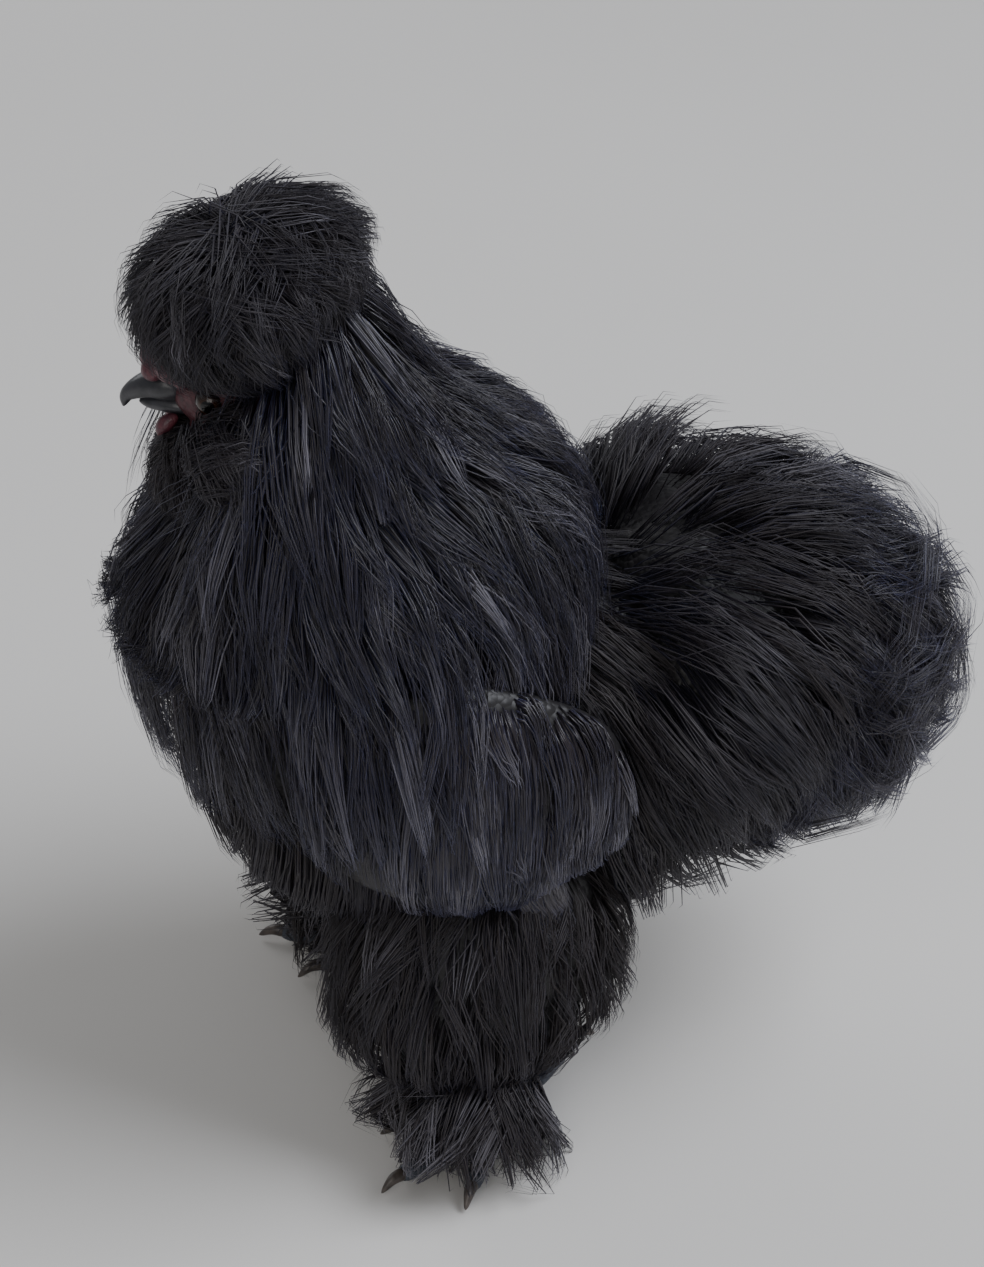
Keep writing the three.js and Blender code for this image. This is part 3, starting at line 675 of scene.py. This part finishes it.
def coat(
    name, form, look, count, per_lock, length, width, u=SHORT, top=(0.7, 1.0), span=(0, 360),
    along=(0.02, 0.9), lie=None, droop=0.0, lean=0.0, scatter=4.0, gather=0.7, wave=0.6, curl=0.0,
    lift=0.0, tone=0.3, mixed=0.2, painted_highlight=0.1, floor=None, clear=None,
):
    """A piece of coat.

    count barbs, per_lock to a lock, are rooted at random within along and span, the shares of the form's
    length and the degrees round it. length is how far a barb runs along the form and width how wide it is,
    in mm. u says where its rings are, and top is the least and the most layer of its tip. lie is the angle
    round the form that barbs turn towards by droop, and lean turns them all. scatter is a lock's spread at
    its roots, in mm, and gather how far its tips come together. wave bends locks sideways, curl winds
    their tips, lift raises them. tone runs from cool to warm, mixed is how much it differs, and
    painted_highlight is the share of locks with a painted highlight on their tips. No path goes below
    floor. clear tells of each barb's path whether it stays out of where none belong.
    """
    t = roots_of(form, count // per_lock, along)
    locks = len(t)
    angle = np.radians(rng.uniform(*span, locks))
    reach = length * rng.uniform(*LOCK_REACH, locks)
    away = 0 if lie is None else np.sin(angle - lie)
    turn = lean - droop * away + LOCK_TURN * rng.standard_normal(locks)
    high = rng.uniform(*top, locks)
    hue = np.clip(tone + mixed * rng.standard_normal(locks), 0, 1)
    # Some locks get a strong painted highlight on their tips, the rest at most a faint one.
    highlit = rng.uniform(0, 1, locks) < painted_highlight
    highlight = np.where(highlit, rng.uniform(*HIGHLIGHT_STRENGTH, locks), FAINT_HIGHLIGHT * rng.uniform(0, 1, locks))
    bend = BEND * wave * rng.standard_normal(locks)
    wind = curl * rng.standard_normal(locks)

    # From here on everything is drawn for each barb; of is the lock that it belongs to.
    n = locks * per_lock
    of = np.repeat(np.arange(locks), per_lock)
    off = rng.standard_normal((n, 2)) * scatter
    radius = np.maximum(form.radius(np.abs(t)), LEAST_RADIUS)[of]
    root_t = t[of] + off[:, 0] / form.length
    root_angle = angle[of] + off[:, 1] / radius
    own = reach[of] * rng.uniform(*BARB_REACH, n)
    run = (own - gather * off[:, 0] * 0.5) / form.length
    swing = turn[of] * own / length - gather * off[:, 1] / radius

    # And from here on for each ring of each barb.
    bend, wind, radius = bend[of][:, None], wind[of][:, None], radius[:, None]
    u = u[None]
    tops = high[of][:, None] + BARB_LAYER * rng.standard_normal((n, 1))
    layer = UNDER + (tops - UNDER) * np.sin(np.minimum(1, u * RISE) * np.pi / 2) + lift * u**3
    ripple = bend * np.sin(u * BENDS) + wind * u**3 + FRIZZ * wave * rng.standard_normal((n, 1)) * u
    tt = root_t[:, None] + run[:, None] * (u - SHORTEN * np.abs(wind) * u**4)
    tt = np.minimum(tt, ALONG_MOST)
    aa = root_angle[:, None] + swing[:, None] * u + ripple * BEND_RADIUS / radius
    # A barb rooted past the near end comes up on the other side of it.
    aa = np.where(tt < 0, aa + np.pi, aa)
    tt = np.maximum(np.abs(tt), ALONG_LEAST)
    path = form.point(tt, aa, layer)
    outer = form.point(tt, aa, layer + OVER) - path
    if floor is not None:
        path[..., 2] = np.maximum(path[..., 2], floor)

    place = np.stack([np.clip(np.abs(root_t), 0, 1), (root_angle / (2 * np.pi)) % 1], -1)
    root = atlas_cell(name.split(".")[0]) + place * CELL
    wide = width * rng.uniform(*WIDTHS, n)
    tone_and_highlight = np.stack([hue[of], highlight[of] * rng.uniform(*BARB_HIGHLIGHT, n)])
    kept = np.ones(n, bool) if clear is None else clear(path)
    return blades(name, path[kept], unit(outer[kept]), u[0], wide[kept], look, tone_and_highlight[:, kept], root[kept])


def off_face(path):
    """Hackles stay behind the face."""
    apart = (path - in_head(FACE_ROOM["at"])) / FACE_ROOM["radii"]
    return (np.linalg.norm(apart, axis=-1) > 1).all(1)


def off_toes(side):
    """Feathers of the foot part over its toes."""
    place = in_foot(side)

    def clear(path):
        kept = np.ones(len(path), bool)
        for toe in FRONT_TOES:
            length, _, thick, _ = TOES[toe]
            _, out = toe_way(toe, side)
            start = place(out(TOE_ROOM_FROM))
            way = place(out(length + CLAW)) - start
            k = np.clip((path - start) @ way / (way @ way), 0, 1)
            apart = np.linalg.norm(path - start - k[..., None] * way, axis=-1)
            kept &= (apart[:, 2:] > thick + TOE_ROOM).all(1)
        return kept

    return clear


def blade_faces(rings):
    """The faces of one closed three-sided blade that ends in a point."""
    faces = [(0, 2, 1)]
    for i in range(rings - 1):
        for j in range(3):
            k = (j + 1) % 3
            near, far = i * 3, i * 3 + 3
            faces += [(near + j, near + k, far + k), (near + j, far + k, far + j)]
    tip = rings * 3
    return np.array(faces + [(tip - 3 + j, tip - 3 + (j + 1) % 3, tip) for j in range(3)])


def blades(name, path, outer, u, width, look, tone_and_highlight, root):
    """One mesh of blades along paths, with their tone, their painted highlight and their place on the unwrap.
    """
    n, rings = path.shape[0], path.shape[1] - 1
    along = unit(np.gradient(path, axis=1))
    side = unit(np.cross(along, outer))
    roll = rng.uniform(-ROLL, ROLL, (n, 1, 1))
    side = unit(side * np.cos(roll) + outer * np.sin(roll))
    out = np.cross(side, along)
    swell = BLADE_ROOT + (1 - BLADE_ROOT) * np.sin(np.pi * np.minimum(1, u[:-1] * SWELL[1] + SWELL[0]))
    wide = (width[:, None] * swell * np.sqrt(1 - u[:-1] ** 2))[..., None] / 2
    spine = path[:, :-1]
    edge = side[:, :-1] * wide
    ridge = out[:, :-1] * wide * RIDGE
    under = spine - ridge * 0.5
    ring = np.stack([under + edge, under - edge, spine + ridge], 2)
    points = np.concatenate([ring.reshape(n, rings * 3, 3), path[:, -1:]], 1)
    per = rings * 3 + 1
    index = (np.arange(n)[:, None, None] * per + blade_faces(rings)[None]).reshape(-1, 3)
    mesh = bpy.data.meshes.new(name)
    mesh.vertices.add(n * per)
    mesh.vertices.foreach_set("co", metres(points.reshape(-1, 3)).ravel())
    mesh.loops.add(index.size)
    mesh.loops.foreach_set("vertex_index", index.ravel())
    mesh.polygons.add(len(index))
    mesh.polygons.foreach_set("loop_start", np.arange(0, index.size, 3))
    mesh.update(calc_edges=True)
    mesh.shade_smooth()
    down = np.append(np.repeat(u[:-1], 3), 1.0)
    hue, highlight = tone_and_highlight
    add_shade(mesh, "tone", np.repeat(hue, per))
    # The painted highlight grows towards each barb's tip.
    add_shade(mesh, "painted_highlight", (highlight[:, None] * down[None] ** HIGHLIGHT_GROWTH).ravel())
    across = np.append(np.tile([0.0, 1.0, 0.5], rings), 0.5)
    uv = root[:, None] + (np.stack([across, down], -1) - 0.5)[None] * PATCH
    unwrap = mesh.uv_layers.new(name="OFBake")
    unwrap.data.foreach_set("uv", uv.reshape(-1, 2)[index.ravel()].ravel())
    mesh.materials.append(look)
    return in_scene(name, mesh)


def add_shade(mesh, name, values):
    mesh.attributes.new(name, "FLOAT", "POINT").data.foreach_set("value", values)


def finish_piece(piece, slot, *nodes):
    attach(piece, "root")
    if nodes:
        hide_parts(*nodes)


def dress_head():
    piece = coat(
        "coat_crest", CREST, PLUMAGE, 10800, 12, 19, 0.65, top=(0.7, 1.12), along=(-0.07, 0.86),
        scatter=2.4, gather=0.9, wave=1.0, lift=0.08, tone=0.3, painted_highlight=0.04,
    )
    finish_piece(piece, "plumage", "crest")
    piece = coat(
        "coat_nape", NAPE, CAPE, 3200, 22, 34, 0.75, LONG, (0.7, 1.05), span=(-25, 205), along=(0.05, 0.8),
        scatter=3, gather=0.85, wave=0.5, tone=0.25, painted_highlight=0.1, clear=off_face,
    )
    finish_piece(piece, "cape")
    piece = coat("coat_beard", BEARD, PLUMAGE, 4000, 12, 17, 0.55, top=(0.6, 1.1), scatter=2, tone=0.85)
    finish_piece(piece, "plumage", "beard")


def dress_body():
    piece = coat(
        "coat_cape.0", HACKLE, CAPE, 8000, 26, 46, 0.8, LONG, (0.78, 1.0), along=(0.0, 0.45),
        scatter=3.6, gather=0.85, wave=0.4, tone=0.15, painted_highlight=0.15, clear=off_face,
    )
    finish_piece(piece, "cape", "neck")
    piece = coat(
        "coat_cape.1", HACKLE, CAPE, 8000, 26, 46, 0.8, LONG, (0.75, 1.05), along=(0.3, 0.72),
        scatter=3.6, gather=0.85, wave=0.4, tone=0.2, painted_highlight=0.3, clear=off_face,
    )
    finish_piece(piece, "cape")
    piece = coat(
        "coat_saddle", SADDLE, PLUMAGE, 8000, 18, 34, 0.7, top=(0.7, 1.02), along=(0.0, 0.85),
        lie=DOWN, droop=0.5, scatter=3.4, tone=0.35, painted_highlight=0.03,
    )
    finish_piece(piece, "plumage", "saddle")
    piece = coat(
        "coat_tail", TAIL, CAPE, 9500, 18, 30, 0.7, top=(0.7, 1.02), along=(0.05, 0.88),
        lie=DOWN, droop=0.45, scatter=3.6, gather=0.8, wave=1.0, tone=0.25, painted_highlight=0.15,
    )
    finish_piece(piece, "tail_plumage", "tail")
    piece = coat(
        "coat_tail.tips", TAIL, CAPE, 3800, 20, 30, 0.75, LONG, (0.85, 1.12), along=(0.35, 0.85),
        lie=DOWN, droop=0.3, scatter=2.4, gather=1.0, wave=2.2, curl=1.2, lift=0.25, tone=0.3, painted_highlight=0.15,
    )
    finish_piece(piece, "tail_plumage")
    piece = coat(
        "coat_torso", TORSO, PLUMAGE, 7200, 16, 28, 0.7, top=(0.65, 1.1), along=(0.0, 0.95),
        lie=DOWN, droop=1.1, scatter=3.2, tone=0.7, painted_highlight=0.04,
    )
    finish_piece(piece, "plumage", "torso")


def dress_side(side, s):
    """The coat of one side: muff, wing, primaries, thigh and boot."""
    piece = coat(
        "coat_muff_" + side, muff(s), PLUMAGE, 2400, 12, 15, 0.55, top=(0.6, 1.15),
        scatter=2, wave=1.2, tone=0.6,
    )
    finish_piece(piece, "plumage", "muff_" + side)
    outer_face = sorted((-s * 15, -s * 125))
    piece = coat(
        "coat_wing_" + side, wing(s), CAPE, 3000, 24, 12, 0.9, LONG, (0.5, 1.3), span=outer_face,
        along=(0.04, 0.86), lean=-s * 0.9, scatter=2.4, gather=0.9, wave=0.3, tone=0.3, painted_highlight=0.25,
    )
    finish_piece(piece, "wing_plumage", "wing_" + side)
    piece = coat(
        "coat_quills_" + side, quills(s), CAPE, 400, 40, 40, 1.0, LONG, (0.4, 1.2), along=(0.02, 0.3),
        scatter=2, gather=0.6, tone=0.5, painted_highlight=0.6,
    )
    finish_piece(piece, "wing_plumage")
    piece = coat(
        "coat_thigh_" + side, thigh(s), PLUMAGE, 4000, 14, 25, 0.7, top=(0.6, 1.1), along=(0.1, 0.92),
        scatter=3, tone=0.8, painted_highlight=0.04,
    )
    finish_piece(piece, "plumage", "thigh_" + side)
    piece = coat(
        "coat_boot_" + side, boot(side), PLUMAGE, 2900, 14, 20, 0.85, top=(0.5, 1.2), along=(-0.05, 0.8),
        scatter=2.6, wave=1.5, tone=0.95, painted_highlight=0.3, floor=0.4, clear=off_toes(side),
    )
    finish_piece(piece, "plumage", "boot_" + side)


# Beak, comb, wattles, earlobes, eyes and claws.
def bare_parts():
    finish_piece(new_object("beak_top", *BEAK_UPPER.body(), HORN), "horn", "beak_upper")
    finish_piece(new_object("beak_bottom", *BEAK_LOWER.body(), HORN), "horn", "beak_lower")
    bulbs = [ball([x, y, z], [r, r, r], in_head) for x, y, z, r in COMB]
    finish_piece(fused("comb_skin", bulbs, COMB_SKIN, COMB_GRID, 4), "comb", "comb")
    for side, s in SIDES.items():
        piece = new_object("wattle_skin_" + side, *wattle(s).body(), COMB_SKIN)
        finish_piece(piece, "comb", "wattle_" + side)
        piece = new_object("lobe_skin_" + side, *ball(LOBE_AT * [s, 1, 1], LOBE_RADII, in_head), LOBE_SKIN)
        finish_piece(piece, "earlobe", "earlobe_" + side)
        eye = EYE_AT * [s, 1, 1]
        out = unit(in_head([s, 0, 0]) - in_head([0, 0, 0]))
        look = eye_material("eye_" + side, metres(in_head(eye)), out)
        piece = new_object("eyeball_" + side, *ball(eye, [EYE_RADIUS] * 3, in_head, 48, 32), look)
        finish_piece(piece, "eye", "eye_" + side)
        for toe in TOES:
            claw = claw_form(toe, side).body(sides=20, rings=16)
            piece = new_object(f"nail_{toe}_{side}", *claw, CLAW_HORN)
            finish_piece(piece, "claw", f"claw_{toe}_{side}")


# Stage, light and camera. The camera stands where the photograph's did, and it looks down on the bird from
# its left. Its places are in the bird's frame, those of the lights and what they face are in metres.
CAMERA_AT = (692.5, -205.0, 669.0)
CAMERA_TO = (0.0, 20.0, 140.0)
FOCAL = 90.8
SENSOR = 36
SHIFT = 0.017
LIT = (0, 0, 0.15)
FLOOR_SIZE = 6
FLOOR_COLOURS = (0.60, 0.585, 0.56), (0.66, 0.645, 0.62)


def stage():
    bpy.ops.mesh.primitive_plane_add(size=FLOOR_SIZE)
    floor = bpy.context.object
    floor.name = "floor"
    m, tree, shader = material("floor", 0.8, specular=0.2)
    colour = blend_colours(tree, noise(tree, 3), *FLOOR_COLOURS)
    tree.links.new(colour, shader.inputs["Base Color"])
    floor.data.materials.append(m)


def area_light(name, at, size, watts, colour):
    """A square soft box that faces the bird."""
    data = bpy.data.lights.new(name, "AREA")
    data.size = size
    data.energy = watts
    data.color = colour
    lamp = in_scene(name, data)
    lamp.location = at
    lamp.rotation_euler = (Vector(LIT) - Vector(at)).to_track_quat("-Z", "Y").to_euler()


def lights():
    area_light("sky", (0.5, 0.9, 1.6), 1.2, 40, (0.90, 0.93, 1.0))
    area_light("front", (1.4, -0.9, 1.2), 1.2, 9, (1.0, 0.96, 0.92))
    area_light("far", (-1.3, -0.6, 1.0), 1.0, 6, (0.97, 0.97, 1.0))
    world = bpy.data.worlds.new("world")
    bpy.context.scene.world = world
    world.use_nodes = True
    background = world.node_tree.nodes["Background"]
    background.inputs["Color"].default_value = (0.85, 0.88, 0.92, 1)
    background.inputs["Strength"].default_value = 0.30


def camera():
    data = bpy.data.cameras.new("camera")
    data.sensor_fit = "VERTICAL"
    data.sensor_height = SENSOR
    data.lens = FOCAL
    data.shift_y = SHIFT
    view = in_scene("camera", data)
    at = Vector(metres(CAMERA_AT))
    to = Vector(metres(CAMERA_TO))
    view.location = at
    view.rotation_euler = (to - at).to_track_quat("-Z", "Y").to_euler()
    bpy.context.scene.camera = view


finish_piece(skin(), "face_skin", "head", "shank_left", "shank_right", "foot_left", "foot_right")
bare_parts()
dress_head()
dress_body()
for side, s in SIDES.items():
    dress_side(side, s)
stage()
lights()
camera()
